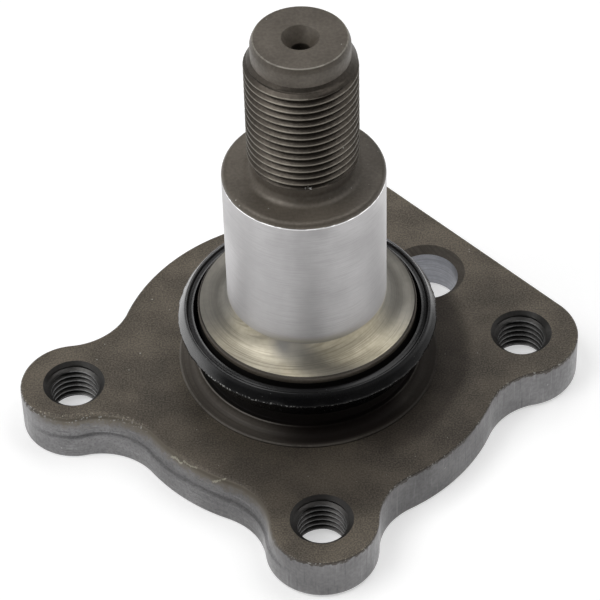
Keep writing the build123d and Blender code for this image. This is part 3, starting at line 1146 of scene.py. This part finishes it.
class NodeTree:
    """Short ways to add and join shader nodes in one tree."""

    def __init__(self, tree: bpy.types.NodeTree) -> None:
        """Works in that tree."""
        self.tree = tree

    def node(self, kind: str, **settings: object) -> bpy.types.Node:
        """Adds a node.

        Args:
            kind: the node's type.
            settings: its properties, by name.

        Returns:
            The node.
        """
        made = self.tree.nodes.new(kind)
        for name, value in settings.items():
            setattr(made, name, value)
        return made

    def join(self, source: bpy.types.NodeSocket, target: bpy.types.NodeSocket) -> None:
        """Links an output to an input."""
        self.tree.links.new(source, target)

    def feed(self, target: bpy.types.NodeSocket, value: object) -> None:
        """Links a socket to an input, or sets the input to a plain value."""
        if isinstance(value, bpy.types.NodeSocket):
            self.join(value, target)
        elif isinstance(value, tuple) and len(value) == 3 and target.type == "RGBA":
            target.default_value = (*value, 1.0)
        else:
            target.default_value = value

    def parts(self, vector: bpy.types.NodeSocket) -> bpy.types.bpy_prop_collection:
        """Splits a vector.

        Args:
            vector: the socket that gives it.

        Returns:
            Outputs with its x, y and z.
        """
        split = self.node("ShaderNodeSeparateXYZ")
        self.join(vector, split.inputs[0])
        return split.outputs

    def attribute(self, name: str) -> bpy.types.NodeSocket:
        """A mark that the mesh carries at its points."""
        return self.node("ShaderNodeAttribute", attribute_name=name).outputs["Fac"]

    def vector_math(self, operation: str, first: object, second: object) -> bpy.types.bpy_prop_collection:
        """Adds an operation on two vectors.

        Args:
            operation: the operation's name.
            first: the first vector, plain or from a socket.
            second: the second one.

        Returns:
            The node's outputs.
        """
        made = self.node("ShaderNodeVectorMath", operation=operation)
        self.feed(made.inputs[0], first)
        self.feed(made.inputs[1], second)
        return made.outputs

    def math(
        self, operation: str, first: object, second: object = 0.0, clamp: bool = False
    ) -> bpy.types.NodeSocket:
        """Adds an operation on two numbers.

        Args:
            operation: the operation's name.
            first: the first number, plain or from a socket.
            second: the second one.
            clamp: whether the result is kept from 0 to 1.

        Returns:
            The result.
        """
        made = self.node("ShaderNodeMath", operation=operation, use_clamp=clamp)
        self.feed(made.inputs[0], first)
        self.feed(made.inputs[1], second)
        return made.outputs[0]

    def blend(self, share: object, first: object, second: object) -> bpy.types.NodeSocket:
        """Mixes two colours.

        Args:
            share: share of the second colour.
            first: the first colour, plain or from a socket.
            second: the second one.

        Returns:
            The mixed colour.
        """
        made = self.node("ShaderNodeMix", data_type="RGBA")
        self.feed(made.inputs["Factor"], share)
        self.feed(made.inputs[6], first)
        self.feed(made.inputs[7], second)
        return made.outputs[2]

    def number_mix(self, share: object, first: object, second: object) -> bpy.types.NodeSocket:
        """Mixes two numbers.

        Args:
            share: share of the second number.
            first: the first number, plain or from a socket.
            second: the second one.

        Returns:
            The mixed number.
        """
        made = self.node("ShaderNodeMix", data_type="FLOAT")
        self.feed(made.inputs["Factor"], share)
        self.feed(made.inputs[2], first)
        self.feed(made.inputs[3], second)
        return made.outputs[0]

    def span(
        self, value: object, low: float, high: float, start: float = 0.0, end: float = 1.0
    ) -> bpy.types.NodeSocket:
        """Moves a number from one range into another, smoothly eased.

        Args:
            value: the number, plain or from a socket.
            low: value that gives start.
            high: value that gives end.
            start: result at low and beyond it.
            end: result at high and beyond it.

        Returns:
            The moved number.
        """
        made = self.node("ShaderNodeMapRange", interpolation_type="SMOOTHSTEP")
        for socket, number in zip(made.inputs[:5], (value, low, high, start, end)):
            self.feed(socket, number)
        return made.outputs[0]

    def noise(self, place: bpy.types.NodeSocket, scale: object, detail: float = 3.0) -> bpy.types.NodeSocket:
        """Adds smooth noise.

        Args:
            place: socket with the place.
            scale: ripples for each unit of length.
            detail: levels of finer detail.

        Returns:
            A number from 0 to 1.
        """
        made = self.node("ShaderNodeTexNoise")
        made.inputs["Detail"].default_value = detail
        self.feed(made.inputs["Scale"], scale)
        self.join(place, made.inputs["Vector"])
        return made.outputs[0]


class EffectGroup:
    """A shader node group with named inputs and outputs, made once and placed in many materials."""

    made: dict[str, bpy.types.ShaderNodeTree] = {}

    def __init__(
        self, name: str, inputs: Sequence[tuple[str, str, object]], outputs: Sequence[tuple[str, str]]
    ) -> None:
        """Makes the empty group.

        Args:
            name: the group's name.
            inputs: name, kind and plain value of each input.
            outputs: name and kind of each output.
        """
        group = bpy.data.node_groups.new(name, "ShaderNodeTree")
        for label, kind, value in inputs:
            socket = group.interface.new_socket(label, in_out="INPUT", socket_type=f"NodeSocket{kind}")
            socket.default_value = value
        for label, kind in outputs:
            group.interface.new_socket(label, in_out="OUTPUT", socket_type=f"NodeSocket{kind}")
        self.shop = NodeTree(group)
        self.inputs = self.shop.node("NodeGroupInput").outputs
        self.outputs = self.shop.node("NodeGroupOutput").inputs
        EffectGroup.made[name] = group

    @staticmethod
    def place(shop: NodeTree, name: str, **values: object) -> bpy.types.bpy_prop_collection:
        """Places a group in a material.

        Args:
            shop: the material's tree.
            name: the group's name.
            values: plain values or sockets for its inputs, with _ for a space in a name.

        Returns:
            The placed group's outputs.
        """
        made = shop.node("ShaderNodeGroup")
        made.node_tree = EffectGroup.made[name]
        for label, value in values.items():
            shop.feed(made.inputs[label.replace("_", " ")], value)
        return made.outputs


def place_in_mm(shop: NodeTree) -> bpy.types.NodeSocket:
    """Place on the object in millimetres."""
    where = shop.node("ShaderNodeTexCoord").outputs["Object"]
    return shop.vector_math("MULTIPLY", where, (1.0 / MM, 1.0 / MM, 1.0 / MM))[0]


def new_material(name: str) -> tuple[bpy.types.Material, NodeTree, bpy.types.Node]:
    """Makes an empty material.

    Args:
        name: the material's name.

    Returns:
        The material, its tree and its shader.
    """
    made = bpy.data.materials.new(name)
    made.use_nodes = True
    return made, NodeTree(made.node_tree), made.node_tree.nodes["Principled BSDF"]


def set_gloss(
    shop: NodeTree, shader: bpy.types.Node, mask: bpy.types.NodeSocket, roughness: float, spread: float
) -> None:
    """Lets the shader's roughness vary by a spread either side, with a mask."""
    rough = shop.span(mask, 0.0, 1.0, roughness + spread, roughness - spread)
    shop.join(rough, shader.inputs["Roughness"])


def set_bump(
    shop: NodeTree, shader: bpy.types.Node, height: bpy.types.NodeSocket, strength: float, depth: float
) -> None:
    """Gives the shader a bump.

    Args:
        shop: the material's tree.
        shader: its shader.
        height: socket with the heights.
        strength: how strongly the bump shows.
        depth: its depth in millimetres.
    """
    bump = shop.node("ShaderNodeBump")
    bump.inputs["Strength"].default_value = strength
    bump.inputs["Distance"].default_value = depth * MM
    shop.join(height, bump.inputs["Height"])
    shop.join(bump.outputs["Normal"], shader.inputs["Normal"])


def make_mottle() -> None:
    """Group of cloudy colour over fine grain, as on a scaled and phosphated forging."""
    group = EffectGroup(
        "Mottle",
        [("Dark", "Color", (0.0, 0.0, 0.0, 1.0)), ("Light", "Color", (1.0, 1.0, 1.0, 1.0)),
         ("Cloud Scale", "Float", 0.12), ("Grain Scale", "Float", 2.0), ("Grain Share", "Float", 0.4)],
        [("Color", "Color"), ("Height", "Float"), ("Mask", "Float")],
    )
    shop = group.shop
    where = place_in_mm(shop)
    cloud = shop.noise(where, group.inputs["Cloud Scale"], 4.0)
    grain = shop.noise(where, group.inputs["Grain Scale"], 3.0)
    cloud_mask = shop.span(cloud, 0.3, 0.7)
    grain_mask = shop.span(grain, 0.32, 0.7)
    other = shop.math("SUBTRACT", 1.0, group.inputs["Grain Share"])
    mixed = shop.math(
        "ADD",
        shop.math("MULTIPLY", cloud_mask, other),
        shop.math("MULTIPLY", grain_mask, group.inputs["Grain Share"]),
    )
    shop.join(shop.blend(mixed, group.inputs["Dark"], group.inputs["Light"]), group.outputs["Color"])
    shop.join(grain, group.outputs["Height"])
    shop.join(mixed, group.outputs["Mask"])


def make_specks() -> None:
    """Group of sparse small bright specks, where a surface is nicked to bare metal or holds grit."""
    group = EffectGroup(
        "Specks",
        [("Scale", "Float", 1.2), ("Amount", "Float", 0.5)],
        [("Mask", "Float")],
    )
    shop = group.shop
    where = place_in_mm(shop)
    cells = shop.node("ShaderNodeTexVoronoi", feature="F1")
    shop.join(where, cells.inputs["Vector"])
    shop.join(group.inputs["Scale"], cells.inputs["Scale"])
    split = shop.node("ShaderNodeSeparateColor")
    shop.join(cells.outputs["Color"], split.inputs[0])
    chance = shop.math("LESS_THAN", split.outputs[0], group.inputs["Amount"])
    size = shop.math("MULTIPLY", split.outputs[1], 0.22)
    inside = shop.math("LESS_THAN", cells.outputs["Distance"], size)
    shop.join(shop.math("MULTIPLY", chance, inside), group.outputs["Mask"])


def make_tool_lines() -> None:
    """Group of fine lines left by a tool or a wheel, as heights."""
    group = EffectGroup(
        "Tool Lines",
        [("Along", "Float", 0.0), ("Lines", "Float", 4.0), ("Run", "Float", 0.05)],
        [("Height", "Float")],
    )
    shop = group.shop
    parts = shop.parts(place_in_mm(shop))
    joined = shop.node("ShaderNodeCombineXYZ")
    for axis in (0, 1):
        shop.join(shop.math("MULTIPLY", parts[axis], group.inputs["Run"]), joined.inputs[axis])
    shop.join(shop.math("MULTIPLY", group.inputs["Along"], group.inputs["Lines"]), joined.inputs[2])
    shop.join(shop.noise(joined.outputs[0], 1.0, 3.0), group.outputs["Height"])


def make_scratch() -> None:
    """Group of one straight scratch between two places, with a broken edge."""
    group = EffectGroup(
        "Scratch",
        [("Start", "Vector", (0.0, 0.0, 0.0)), ("End", "Vector", (1.0, 0.0, 0.0)), ("Width", "Float", 0.2)],
        [("Mask", "Float")],
    )
    shop = group.shop
    vector = {}
    where = place_in_mm(shop)
    for name, first in (("away", where), ("run", group.inputs["End"])):
        apart = shop.vector_math("SUBTRACT", first, group.inputs["Start"])[0]
        vector[name] = shop.vector_math("MULTIPLY", apart, (1.0, 1.0, 0.4))[0]
    products = [
        shop.vector_math("DOT_PRODUCT", other, vector["run"])["Value"] for other in vector.values()
    ]
    share = shop.math("DIVIDE", *products, clamp=True)
    reach = shop.node("ShaderNodeVectorMath", operation="SCALE")
    shop.join(vector["run"], reach.inputs[0])
    shop.join(share, reach.inputs["Scale"])
    gap = shop.vector_math("DISTANCE", vector["away"], reach.outputs[0])["Value"]
    rough = shop.noise(where, 3.0, 2.0)
    width = shop.math("MULTIPLY", group.inputs["Width"], shop.span(rough, 0.35, 0.65, 0.3, 1.4))
    shop.join(shop.math("LESS_THAN", gap, width), group.outputs["Mask"])


@dataclass(frozen=True)
class SteelFinish:
    """A steel surface: its two tones, gloss, grain, specks, rubbed edges, painted edge highlights and
    painted shade.
    """

    name: str
    dark: Rgb
    light: Rgb
    metallic: float
    roughness: float
    cloud_scale: float = 0.12
    grain_scale: float = 2.0
    grain_share: float = 0.4
    bump: float = 0.15
    specks: float = 0.0
    speck_scale: float = 1.2
    speck_tone: Rgb = (0.35, 0.34, 0.31)
    # Tone of rubbed edges and of painted edge highlights.
    worn_and_highlight_tone: Rgb = (0.3, 0.28, 0.25)
    # Colour of painted shade and painted shadow.
    painted_shade_tone: Rgb = (0.012, 0.009, 0.008)
    lines: float = 0.0
    line_contrast: float = 0.0
    line_count: float = 4.0
    line_run: float = 0.05
    lines_by_height: bool = True
    anisotropy: float = 0.0
    specular: float = 0.5
    # Gloss under painted shade and painted shadow, if set.
    painted_shade_specular: float | None = None
    fleck_scale: float = 0.0
    trim_tone: Rgb | None = None
    trim_height: float = 8.75
    rolled_height: float = 7.7
    rolled_tone: Rgb = (0.15, 0.13, 0.102)
    scratches: tuple[tuple[Place, ...], ...] = ()
    scratch_width: float = 0.12
    scratch_tone: Rgb = (0.36, 0.34, 0.27)
    line_centre: Point = (0.0, 0.0)
    swirl: float = 0.0
    swirl_reach: float = 16.6

    def trimmed(self, shop: NodeTree, color: bpy.types.NodeSocket) -> bpy.types.NodeSocket:
        """Dresses a trimmed edge: sheared streaks, or a rolled band with a dark ridge, under a ragged rim.

        Args:
            shop: the material's tree.
            color: the colour of the plain steel.

        Returns:
            The edge's colour.
        """
        height = shop.parts(place_in_mm(shop))[2]
        upright = EffectGroup.place(shop, "Tool Lines", Along=height, Lines=0.1, Run=2.4)["Height"]
        level = EffectGroup.place(shop, "Tool Lines", Along=height, Lines=1.8, Run=0.16)["Height"]
        roll = shop.attribute("rolled")
        band = shop.span(roll, 0.0, 0.5)
        streaks = shop.number_mix(band, upright, level)
        dark, light = (tuple(tone * share for tone in self.light) for share in (0.45, 1.35))
        color = shop.blend(shop.span(streaks, 0.42, 0.28, 0.0, 0.75), color, dark)
        color = shop.blend(shop.span(streaks, 0.58, 0.75, 0.0, 0.75), color, light)
        ragged = shop.noise(place_in_mm(shop), 0.9, 3.0)
        pitted = shop.noise(place_in_mm(shop), 2.6, 2.0)
        pits = shop.math("MULTIPLY", band, shop.span(pitted, 0.5, 0.36, 0.0, 0.55))
        color = shop.blend(pits, color, dark)
        ridge = shop.math("MULTIPLY", shop.span(roll, 0.7, 1.0), shop.span(pitted, 0.42, 0.6))
        color = shop.blend(shop.math("MULTIPLY", ridge, 0.8), color, dark)
        hung = shop.math("ADD", height, shop.math("MULTIPLY", shop.math("SUBTRACT", ragged, 0.5), 2.6))
        hang = shop.span(hung, self.trim_height - 0.15, self.trim_height + 0.15)
        hung = shop.math("ADD", hung, shop.math("MULTIPLY", shop.math("SUBTRACT", pitted, 0.5), 2.4))
        soft = shop.span(hung, self.rolled_height - 1.3, self.rolled_height + 0.9)
        tone = shop.blend(band, self.trim_tone, self.rolled_tone)
        return shop.blend(shop.number_mix(band, hang, soft), color, tone)

    def distance(self, shop: NodeTree) -> bpy.types.NodeSocket:
        """Works out what the tool lines follow.

        Args:
            shop: the material's tree.

        Returns:
            The height, or the distance from the lines' centre, in millimetres.
        """
        parts = shop.parts(place_in_mm(shop))
        if self.lines_by_height:
            return parts[2]
        across, deep = (shop.math("SUBTRACT", parts[axis], self.line_centre[axis]) for axis in (0, 1))
        squares = [shop.math("MULTIPLY", side, side) for side in (across, deep)]
        return shop.math("POWER", shop.math("ADD", *squares), 0.5)

    def material(self) -> bpy.types.Material:
        """Makes the finish.

        Returns:
            Its Blender material.
        """
        made, shop, shader = new_material(self.name)
        shader.inputs["Metallic"].default_value = self.metallic
        mottle = EffectGroup.place(
            shop, "Mottle", Dark=self.dark, Light=self.light, Cloud_Scale=self.cloud_scale,
            Grain_Scale=self.grain_scale, Grain_Share=self.grain_share,
        )
        color = mottle["Color"]
        if self.specks:
            specks = EffectGroup.place(shop, "Specks", Scale=self.speck_scale, Amount=self.specks)
            color = shop.blend(specks["Mask"], color, self.speck_tone)
        if self.trim_tone:
            color = self.trimmed(shop, color)
        height = mottle["Height"]
        if self.lines:
            along = self.distance(shop)
            lines = EffectGroup.place(
                shop, "Tool Lines", Along=along, Lines=self.line_count, Run=self.line_run
            )["Height"]
            height = shop.math("ADD", height, shop.math("MULTIPLY", lines, self.lines))
            shade = tuple(tone * (1.0 - self.line_contrast) for tone in self.dark)
            color = shop.blend(shop.span(lines, 0.55, 0.35), color, shade)
        # Rubbed edges, and painted highlights on the land's rim and the pedestal's edge.
        patchy = shop.span(mottle["Mask"], 0.0, 0.5, 0.35, 1.0)
        rubbed_and_highlit = shop.math("MULTIPLY", shop.span(shop.attribute("wear_and_highlight"), 0.35, 1.0), patchy)
        if self.fleck_scale:
            flecks = shop.noise(place_in_mm(shop), self.fleck_scale, 2.0)
            rubbed_and_highlit = shop.math("MULTIPLY", rubbed_and_highlit, shop.span(flecks, 0.56, 0.7))
        color = shop.blend(rubbed_and_highlit, color, self.worn_and_highlight_tone)
        for scratch in self.scratches:
            for start, end in zip(scratch, scratch[1:]):
                mark = EffectGroup.place(shop, "Scratch", Start=start, End=end, Width=self.scratch_width)
                color = shop.blend(mark["Mask"], color, self.scratch_tone)
        # Painted shade and painted shadow: the mark darkens the colour and, where set, lowers the gloss.
        painted_shade = shop.attribute("painted_shade")
        color = shop.blend(painted_shade, color, self.painted_shade_tone)
        shader.inputs["Specular IOR Level"].default_value = self.specular
        if self.painted_shade_specular is not None:
            gloss = shop.number_mix(painted_shade, self.specular, self.painted_shade_specular)
            shop.join(gloss, shader.inputs["Specular IOR Level"])
        shop.join(color, shader.inputs["Base Color"])
        set_gloss(shop, shader, mottle["Mask"], self.roughness, 0.05)
        set_bump(shop, shader, height, self.bump, 0.1)
        if self.anisotropy:
            shader.inputs["Anisotropic"].default_value = self.anisotropy
            shader.inputs["Anisotropic Rotation"].default_value = QUARTER_TURN
            if self.swirl:
                turned = shop.math("MULTIPLY", shop.math("SUBTRACT", along, self.swirl_reach), self.swirl)
                shop.join(shop.math("ADD", turned, QUARTER_TURN), shader.inputs["Anisotropic Rotation"])
            tangent = shop.node("ShaderNodeTangent", direction_type="RADIAL", axis="Z")
            shop.join(tangent.outputs[0], shader.inputs["Tangent"])
        return made


@dataclass(frozen=True)
class RubberFinish:
    """Moulded black rubber with dusty grain, pale flecks along its torn flash, and gloss taken off where
    shade is painted.
    """

    name: str = "moulded_rubber"
    dark: Rgb = (0.002, 0.002, 0.0022)
    light: Rgb = (0.008, 0.008, 0.0085)
    flash_tone: Rgb = (0.45, 0.45, 0.43)
    roughness: float = 0.24
    specular: float = 1.0
    shaded_specular: float = 0.04
    speck_tone: Rgb = (0.08, 0.08, 0.08)
    bump: float = 0.1

    def material(self) -> bpy.types.Material:
        """Makes the finish.

        Returns:
            Its Blender material.
        """
        made, shop, shader = new_material(self.name)
        # Painted shade: the gloss drops where the ring's painted shade mark is set.
        painted_shade = shop.attribute("painted_shade")
        gloss = shop.number_mix(painted_shade, self.specular, self.shaded_specular)
        shop.join(gloss, shader.inputs["Specular IOR Level"])
        mottle = EffectGroup.place(
            shop, "Mottle", Dark=self.dark, Light=self.light,
            Cloud_Scale=0.3, Grain_Scale=3.0, Grain_Share=0.6,
        )
        specks = EffectGroup.place(shop, "Specks", Scale=2.0, Amount=0.12)
        color = shop.blend(specks["Mask"], mottle["Color"], self.speck_tone)
        flecks = shop.span(shop.noise(place_in_mm(shop), 2.2, 2.0), 0.53, 0.6)
        torn = shop.math("MULTIPLY", shop.span(shop.attribute("wear_and_highlight"), 0.45, 0.95), flecks)
        color = shop.blend(torn, color, self.flash_tone)
        shop.join(color, shader.inputs["Base Color"])
        set_gloss(shop, shader, mottle["Mask"], self.roughness, 0.04)
        set_bump(shop, shader, mottle["Height"], self.bump, 0.08)
        return made


EDGE_SCRATCHES: tuple[tuple[Place, ...], ...] = (
    (
        (-25.34, -24.03, 7.98), (-24.39, -24.82, 8.57), (-23.51, -25.81, 8.02), (-22.92, -25.91, 8.92),
        (-21.84, -26.98, 8.74), (-20.57, -27.73, 8.99),
    ),
    ((-17.73, -30.11, 7.8), (-16.62, -30.53, 8.64), (-15.35, -30.68, 9.18)),
)
# The forged, sheared and turned finishes darken and lose gloss under the painted shadow.
FORGED = SteelFinish(
    "forged_phosphated", dark=(0.04, 0.033, 0.025), light=(0.17, 0.142, 0.106), metallic=0.25,
    roughness=0.56, specks=0.035, speck_scale=1.5, grain_scale=3.3, bump=0.35, fleck_scale=2.6,
    grain_share=0.6, worn_and_highlight_tone=(0.36, 0.33, 0.26), painted_shade_specular=0.12,
    scratches=EDGE_SCRATCHES,
)
SHEARED = SteelFinish(
    "sheared_edge", dark=(0.166, 0.163, 0.166), light=(0.26, 0.257, 0.259), metallic=0.45, roughness=0.5,
    grain_scale=1.6, specks=0.02, speck_tone=(0.5, 0.49, 0.47), bump=0.3, fleck_scale=2.2,
    worn_and_highlight_tone=(0.5, 0.49, 0.46), trim_tone=(0.075, 0.064, 0.054), scratches=EDGE_SCRATCHES,
    painted_shade_specular=0.12,
)
# Its worn tone is a painted highlight on the land's rim and the pedestal's edge.
TURNED = SteelFinish(
    "turned_dark", dark=(0.076, 0.066, 0.055), light=(0.118, 0.103, 0.087), metallic=0.15, roughness=0.6,
    lines=0.12, line_count=5.0, line_run=0.03, lines_by_height=False, bump=0.1, specular=0.3,
    painted_shade_specular=0.08,
)
# Its shade tone is painted at the journal's foot, where it meets the shoulder.
GROUND = SteelFinish(
    "ground_journal", dark=(0.42, 0.412, 0.415), light=(0.447, 0.439, 0.442), metallic=1.0, roughness=0.54,
    cloud_scale=0.1, grain_scale=1.0, grain_share=0.2, lines=1.0, line_count=7.0, line_run=0.2, bump=0.042,
    line_contrast=0.06, anisotropy=0.65, worn_and_highlight_tone=(0.95, 0.95, 0.95), painted_shade_tone=(0.27, 0.255, 0.21),
)
# Its shade tone is painted on the shoulder where the reflection is dim.
POLISHED = SteelFinish(
    "polished_shoulder", dark=(0.49, 0.445, 0.34), light=(0.61, 0.56, 0.435), metallic=1.0, roughness=0.52,
    cloud_scale=0.15, grain_scale=1.2, grain_share=0.3, lines=0.8, line_count=5.0, line_run=0.1,
    line_contrast=0.22, painted_shade_tone=(0.206, 0.2, 0.188), lines_by_height=False, bump=0.06, anisotropy=0.85,
    line_centre=(-1.6, 0.8), swirl=-0.016,
)
# Its shade tone is painted on the nose, the end face, the step and in the centre bore.
THREADED = SteelFinish(
    "oxide_turned", dark=(0.087, 0.073, 0.057), light=(0.146, 0.125, 0.1), metallic=0.3, roughness=0.5,
    specks=0.03, speck_scale=1.6, grain_scale=1.8, bump=0.15, worn_and_highlight_tone=(0.3, 0.28, 0.24),
)
CUT = SteelFinish(
    "cut_thread", dark=(0.047, 0.04, 0.033), light=(0.082, 0.071, 0.059), metallic=0.85, roughness=0.42,
    specks=0.02, speck_scale=1.6, grain_scale=1.8, bump=0.15, worn_and_highlight_tone=(0.15, 0.137, 0.115),
    scratches=(((0.3, -9.5, 60.35), (1.4, -9.4, 60.4)),), scratch_width=0.2, scratch_tone=(0.6, 0.6, 0.58),
)
TAPPED = SteelFinish(
    "tapped_thread", dark=(0.03, 0.029, 0.028), light=(0.055, 0.052, 0.048), metallic=0.5, roughness=0.4,
    grain_scale=2.0, bump=0.1, worn_and_highlight_tone=(0.13, 0.13, 0.13),
)
# Painted shade: the neck under the ring is near black, standing in for the ring's shadow.
NECK = SteelFinish(
    "neck_painted_shade", dark=(0.006, 0.0055, 0.005), light=(0.014, 0.013, 0.012), metallic=0.0, roughness=0.6,
    specular=0.1,
)
BORED = SteelFinish(
    "bored_wall", dark=(0.2, 0.205, 0.225), light=(0.3, 0.305, 0.33), metallic=0.6, roughness=0.4,
    grain_scale=1.5, lines=0.8, line_count=5.0, line_run=0.1, bump=0.2,
)
STEEL_FINISHES: dict[Skin, SteelFinish] = {
    Skin.FORGED: FORGED,
    Skin.SHEARED: SHEARED,
    Skin.TURNED: TURNED,
    Skin.GROUND: GROUND,
    Skin.POLISHED: POLISHED,
    Skin.THREADED: THREADED,
    Skin.TAPPED: TAPPED,
    Skin.BORED: BORED,
    Skin.NECK: NECK,
    Skin.CUT: CUT,
}


@dataclass(frozen=True)
class Lamp:
    """A square soft lamp that faces the object."""

    name: str
    azimuth: float
    elevation: float
    size: float
    power: float
    distance: float = 1100.0

    def build(self) -> None:
        """Makes the lamp."""
        light = bpy.data.lights.new(self.name, "AREA")
        light.shape = "SQUARE"
        light.size = self.size * MM
        light.energy = self.power
        lamp = bpy.data.objects.new(self.name, light)
        turn, lift = math.radians(self.azimuth), math.radians(self.elevation)
        away = Vector((math.cos(lift) * math.cos(turn), math.cos(lift) * math.sin(turn), math.sin(lift)))
        lamp.location = away * self.distance * MM
        lamp.rotation_euler = (-away).to_track_quat("-Z", "Y").to_euler()
        bpy.context.scene.collection.objects.link(lamp)


@dataclass(frozen=True)
class Studio:
    """A pale floor, soft lamps and a camera at the reference view."""

    camera_place: tuple[float, float, float] = (0.0, -385.13, 415.66)
    camera_aim: tuple[float, float, float] = (-1.343, 12.942, 9.9)
    camera_roll: float = 1.66
    lens: float = 180.65
    sensor_width: float = 36.0
    floor_size: float = 6.0
    floor_tone: float = 0.7
    white_lift: float = 0.5
    mirror_lift: float = 1.05
    fill_level: float = 0.02
    front_level: float = 0.06
    horizon_level: float = 0.45
    left_lift: float = 0.6
    right_lift: float = 0.25
    overhead_level: float = 0.2
    front_wall: Point = (-0.5, -0.1)
    left_wall: Point = (-0.3, -0.7)
    right_wall: Point = (0.3, 0.7)
    overhead: Point = (0.25, 0.6)
    lamps: tuple[Lamp, ...] = (
        Lamp("left_lamp", 198.0, 60.0, 700.0, 6.5),
        Lamp("right_lamp", 13.0, 61.0, 650.0, 3.3),
        Lamp("back_lamp", 85.0, 58.0, 600.0, 2.1),
    )

    def make_camera(self) -> None:
        """Makes the camera and sets it as the scene's own."""
        lens = bpy.data.cameras.new("studio_camera")
        lens.lens = self.lens
        lens.sensor_width = self.sensor_width
        lens.clip_start = 0.01
        camera = bpy.data.objects.new("studio_camera", lens)
        place, aim = Vector(self.camera_place) * MM, Vector(self.camera_aim) * MM
        sight = aim - place
        facing = sight.to_track_quat("-Z", "Y")
        roll = Quaternion(sight.normalized(), math.radians(self.camera_roll))
        camera.matrix_world = (roll @ facing).to_matrix().to_4x4()
        camera.location = place
        bpy.context.scene.collection.objects.link(camera)
        bpy.context.scene.camera = camera

    def make_floor(self) -> None:
        """Makes the pale floor, which keeps the object's shadow and reads as white."""
        half = self.floor_size / 2
        mesh = bpy.data.meshes.new("studio_floor")
        square = [(-half, -half, 0), (half, -half, 0), (half, half, 0), (-half, half, 0)]
        mesh.from_pydata(square, [], [(0, 1, 2, 3)])
        floor = bpy.data.objects.new("studio_floor", mesh)
        bpy.context.scene.collection.objects.link(floor)
        paint, shop, shader = new_material("studio_floor")
        shop.feed(shader.inputs["Base Color"], (self.floor_tone,) * 3)
        shader.inputs["Roughness"].default_value = 0.9
        shader.inputs["Specular IOR Level"].default_value = 0.1
        shader.inputs["Emission Color"].default_value = (1.0, 1.0, 1.0, 1.0)
        path = shop.node("ShaderNodeLightPath")
        seen = shop.math("MULTIPLY", path.outputs["Is Camera Ray"], self.white_lift)
        mirrored = shop.math("MULTIPLY", path.outputs["Is Glossy Ray"], self.mirror_lift)
        shop.join(shop.math("ADD", seen, mirrored), shader.inputs["Emission Strength"])
        mesh.materials.append(paint)

    def make_world(self) -> None:
        """Makes the studio's walls: white to the camera, and dim to mirrors and as a fill."""
        world = bpy.data.worlds.new("studio")
        bpy.context.scene.world = world
        world.use_nodes = True
        shop = NodeTree(world.node_tree)
        sky = world.node_tree.nodes["Background"]
        sky.inputs["Color"].default_value = (1.0, 1.0, 1.0, 1.0)
        side, depth, height = list(shop.parts(shop.node("ShaderNodeTexCoord").outputs["Generated"]))[:3]
        walls = shop.span(depth, *self.front_wall, self.front_level, self.horizon_level)
        walls = shop.math("ADD", walls, shop.span(side, *self.left_wall, 0.0, self.left_lift))
        walls = shop.math("ADD", walls, shop.span(side, *self.right_wall, 0.0, self.right_lift))
        mirrored = shop.span(height, *self.overhead, walls, self.overhead_level)
        path = shop.node("ShaderNodeLightPath")
        level = shop.number_mix(path.outputs["Is Glossy Ray"], self.fill_level, mirrored)
        level = shop.number_mix(path.outputs["Is Camera Ray"], level, 1.0)
        shop.join(level, sky.inputs["Strength"])

    def build(self) -> None:
        """Sets up the whole studio."""
        self.make_camera()
        self.make_floor()
        self.make_world()
        for lamp in self.lamps:
            lamp.build()
        bpy.context.scene.view_settings.view_transform = "Standard"


def main() -> None:
    """Builds the studio, the spindle and the sealing ring, in that order."""
    logging.basicConfig(level=logging.INFO, format="%(name)s %(message)s")
    Studio().build()
    make_mottle()
    make_specks()
    make_tool_lines()
    make_scratch()
    finishes = {skin: finish.material() for skin, finish in STEEL_FINISHES.items()}
    body = Spindle().build(finishes)
    log.info("%s is in place", body.name)
    ring = SealingRing().build(RubberFinish().material())
    log.info("%s is in place", ring.name)


if __name__ == "__main__":
    main()
